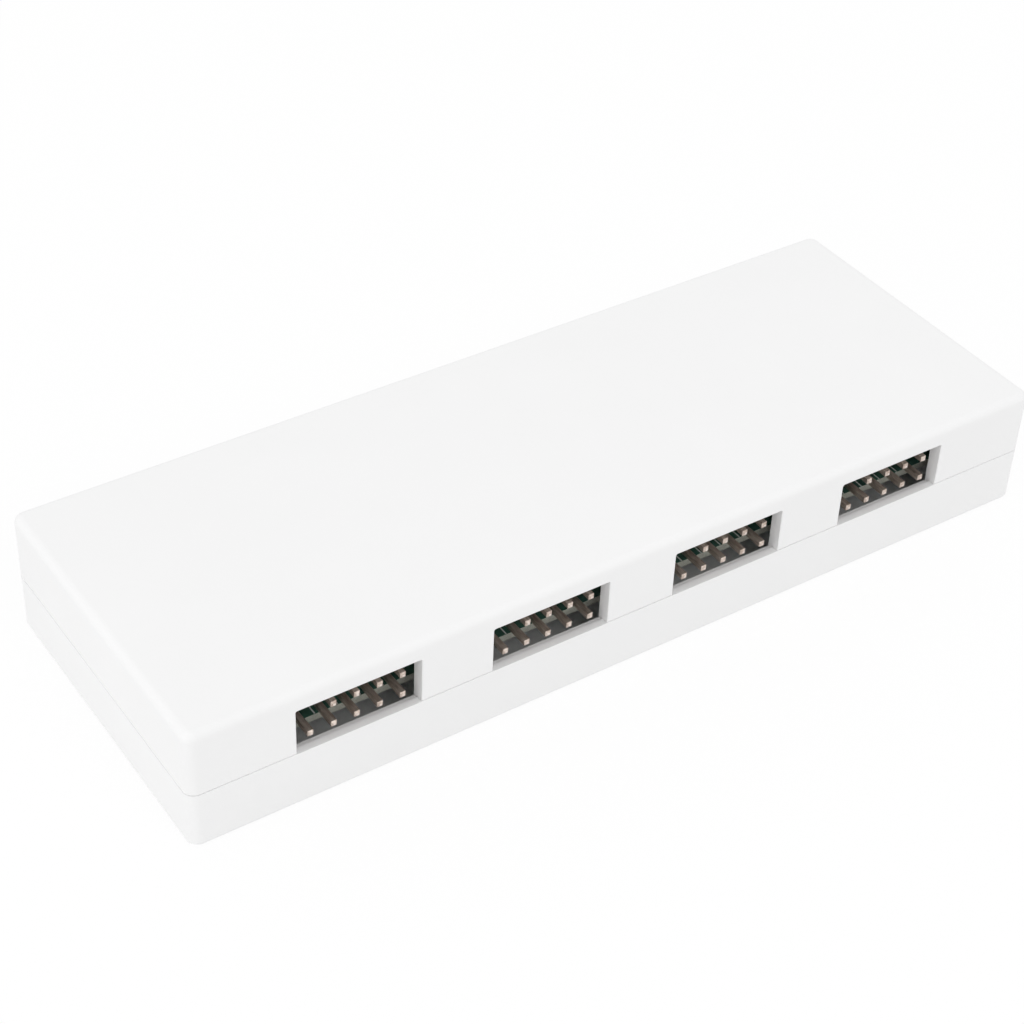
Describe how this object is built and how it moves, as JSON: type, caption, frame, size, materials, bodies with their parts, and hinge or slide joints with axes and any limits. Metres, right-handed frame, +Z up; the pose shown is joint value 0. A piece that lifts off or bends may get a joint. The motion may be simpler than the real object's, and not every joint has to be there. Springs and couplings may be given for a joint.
{
  "type": "internal usb hub",
  "caption": "Flat white box with keyed pin headers in slots along its front side, for joining several internal USB leads to one mainboard header.",
  "frame": {"origin": "centre of the underside, on the surface that the hub lies on", "axes": "+X along the length, -Y out of the output slots, +Z up out of the roof"},
  "size_m": [0.104, 0.038, 0.0143],
  "materials": {
    "casing": "fine matte moulded plastic, white",
    "black_plastic": "moulded black nylon",
    "plated_pins": "plated square pins, pale at the cut tips",
    "plated_contacts": "gold-plated contact strips",
    "board": "green solder mask over glass-epoxy laminate",
    "steel": "zinc-plated steel",
    "epoxy": "moulded black epoxy",
    "tin": "tinned copper alloy",
    "ceramic_tan": "fired tan ceramic with tinned ends",
    "ceramic_dark": "dark glazed film on ceramic",
    "fuse_laminate": "green laminate",
    "tank_resin": "moulded amber resin"
  },
  "bodies": {
    "root": {"top_cover": "casing", "bottom_tray": "casing", "circuit_board": "board", "board_screws": "steel", "input_header_body": "black_plastic", "input_header_pins": "plated_pins", "power_inlet_body": "black_plastic", "power_inlet_contacts": "plated_contacts", "hub_controller_body": "epoxy", "hub_controller_leads": "tin", "crystal_base": "ceramic_dark", "crystal_lid": "steel", "line_resistors": "ceramic_dark", "bypass_capacitors": "ceramic_tan", "port_fuses": "fuse_laminate", "port_capacitors": "tank_resin", "capacitor_terminals": "tin", "output_header_1_body": "black_plastic", "output_header_1_pins": "plated_pins", "output_header_2_body": "black_plastic", "output_header_2_pins": "plated_pins", "output_header_3_body": "black_plastic", "output_header_3_pins": "plated_pins", "output_header_4_body": "black_plastic", "output_header_4_pins": "plated_pins"}
  },
  "joints": []
}
